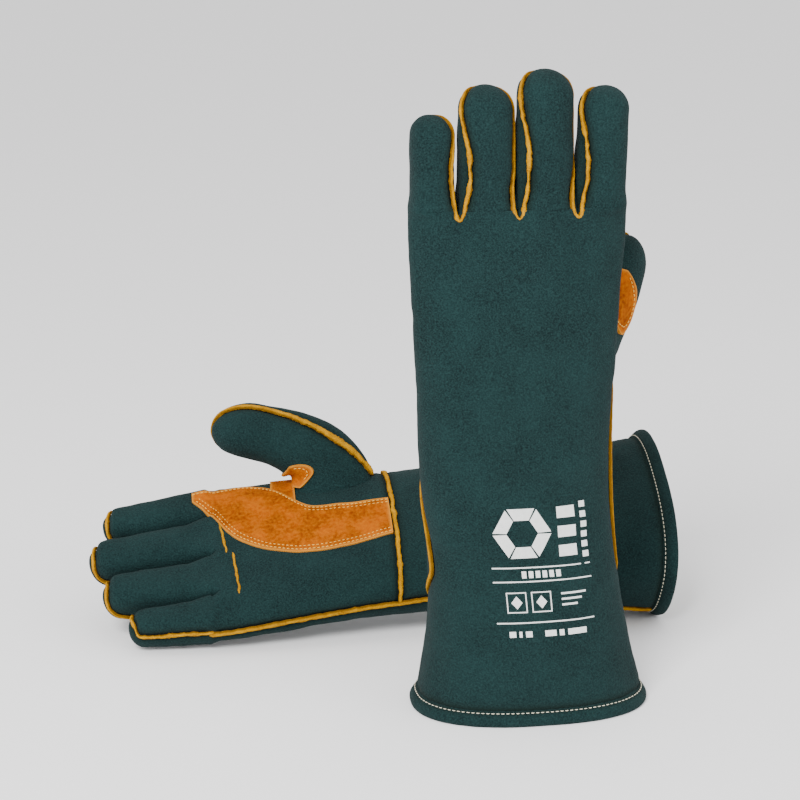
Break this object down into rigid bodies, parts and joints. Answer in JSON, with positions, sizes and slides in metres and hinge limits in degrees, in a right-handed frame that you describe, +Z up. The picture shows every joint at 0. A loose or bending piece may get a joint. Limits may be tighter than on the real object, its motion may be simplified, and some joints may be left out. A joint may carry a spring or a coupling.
{
  "type": "welding gloves",
  "caption": "Pair of long leather welding gauntlets with welted seams, a palm reinforcement and lined stalls; one stands on its cuff, one lies behind.",
  "frame": {"origin": "centre of the pair's footprint, on the surface that both gloves rest on", "axes": "+Z up, along the standing glove from rim to fingertips; +Y from the back of the standing glove to its palm, towards the lying glove; the lying glove points along -X"},
  "size_m": [0.4016, 0.2866, 0.3994],
  "materials": {
    "green_leather": "napped split suede, dark green, mottled",
    "golden_welt": "raw golden yellow leather strip",
    "orange_leather": "orange split suede with raw edges",
    "cotton_lining": "brushed cotton fleece"
  },
  "bodies": {
    "left_hand": {"left_back_panel": "green_leather", "left_cuff_hem": "green_leather", "left_cuff_panel": "green_leather", "left_hand_lining": "cotton_lining", "left_little_side_welt": "golden_welt", "left_palm_panel": "green_leather", "left_palm_patch": "orange_leather", "left_thumb_side_welt": "golden_welt", "left_wrist_welt": "golden_welt"},
    "left_little": {"left_little_back": "green_leather", "left_little_front": "green_leather", "left_little_lining": "cotton_lining", "left_little_welt": "golden_welt"},
    "left_ring": {"left_ring_back": "green_leather", "left_ring_front": "green_leather", "left_ring_lining": "cotton_lining", "left_ring_welt": "golden_welt"},
    "left_middle": {"left_middle_back": "green_leather", "left_middle_front": "green_leather", "left_middle_lining": "cotton_lining", "left_middle_welt": "golden_welt"},
    "left_index": {"left_index_back": "green_leather", "left_index_front": "green_leather", "left_index_lining": "cotton_lining", "left_index_welt": "golden_welt"},
    "left_thumb": {"left_thumb_back": "green_leather", "left_thumb_front": "green_leather", "left_thumb_lining": "cotton_lining", "left_thumb_strap": "orange_leather", "left_thumb_welt": "golden_welt"},
    "right_hand": {"right_back_panel": "green_leather", "right_cuff_hem": "green_leather", "right_cuff_panel": "green_leather", "right_hand_lining": "cotton_lining", "right_little_side_welt": "golden_welt", "right_palm_panel": "green_leather", "right_palm_patch": "orange_leather", "right_thumb_side_welt": "golden_welt", "right_wrist_welt": "golden_welt"},
    "right_little": {"right_little_back": "green_leather", "right_little_front": "green_leather", "right_little_lining": "cotton_lining", "right_little_welt": "golden_welt"},
    "right_ring": {"right_ring_back": "green_leather", "right_ring_front": "green_leather", "right_ring_lining": "cotton_lining", "right_ring_welt": "golden_welt"},
    "right_middle": {"right_middle_back": "green_leather", "right_middle_front": "green_leather", "right_middle_lining": "cotton_lining", "right_middle_welt": "golden_welt"},
    "right_index": {"right_index_back": "green_leather", "right_index_front": "green_leather", "right_index_lining": "cotton_lining", "right_index_welt": "golden_welt"},
    "right_thumb": {"right_thumb_back": "green_leather", "right_thumb_front": "green_leather", "right_thumb_lining": "cotton_lining", "right_thumb_strap": "orange_leather", "right_thumb_welt": "golden_welt"}
  },
  "joints": [
    {"name": "lift_apart", "type": "slide", "parent": "left_hand", "child": "right_hand", "axis": [0, 0, 1], "range_m": [0, 0.45]},
    {"name": "left_little_fold", "type": "hinge", "parent": "left_hand", "child": "left_little", "pos_m": [0.00787, -0.08053, 0.3], "axis": [-1, 0, 0], "range_deg": [0, 60], "stiffness_Nm_per_rad": 0.4},
    {"name": "left_ring_fold", "type": "hinge", "parent": "left_hand", "child": "left_ring", "pos_m": [0.03982, -0.08053, 0.3], "axis": [-1, 0, 0], "range_deg": [0, 60], "stiffness_Nm_per_rad": 0.4},
    {"name": "left_middle_fold", "type": "hinge", "parent": "left_hand", "child": "left_middle", "pos_m": [0.07567, -0.08053, 0.3], "axis": [-1, 0, 0], "range_deg": [0, 60], "stiffness_Nm_per_rad": 0.4},
    {"name": "left_index_fold", "type": "hinge", "parent": "left_hand", "child": "left_index", "pos_m": [0.10992, -0.08053, 0.3], "axis": [-1, 0, 0], "range_deg": [0, 60], "stiffness_Nm_per_rad": 0.4},
    {"name": "left_thumb_fold", "type": "hinge", "parent": "left_hand", "child": "left_thumb", "pos_m": [0.0994, -0.07052, 0.225], "axis": [0, 0, 1], "range_deg": [0, 35], "stiffness_Nm_per_rad": 0.4},
    {"name": "right_little_fold", "type": "hinge", "parent": "right_hand", "child": "right_little", "pos_m": [-0.10263, 0.01835, 0.03291], "axis": [-0.0457, 0.8765, 0.4792], "range_deg": [0, 60], "stiffness_Nm_per_rad": 0.4},
    {"name": "right_ring_fold", "type": "hinge", "parent": "right_hand", "child": "right_ring", "pos_m": [-0.10178, 0.04643, 0.04813], "axis": [-0.0457, 0.8765, 0.4792], "range_deg": [0, 60], "stiffness_Nm_per_rad": 0.4},
    {"name": "right_middle_fold", "type": "hinge", "parent": "right_hand", "child": "right_middle", "pos_m": [-0.10083, 0.07793, 0.06521], "axis": [-0.0457, 0.8765, 0.4792], "range_deg": [0, 60], "stiffness_Nm_per_rad": 0.4},
    {"name": "right_index_fold", "type": "hinge", "parent": "right_hand", "child": "right_index", "pos_m": [-0.09992, 0.10803, 0.08153], "axis": [-0.0457, 0.8765, 0.4792], "range_deg": [0, 60], "stiffness_Nm_per_rad": 0.4},
    {"name": "right_thumb_fold", "type": "hinge", "parent": "right_hand", "child": "right_thumb", "pos_m": [-0.02482, 0.094, 0.09181], "axis": [0.9984, 0, -0.0558], "range_deg": [0, 35], "stiffness_Nm_per_rad": 0.4}
  ]
}
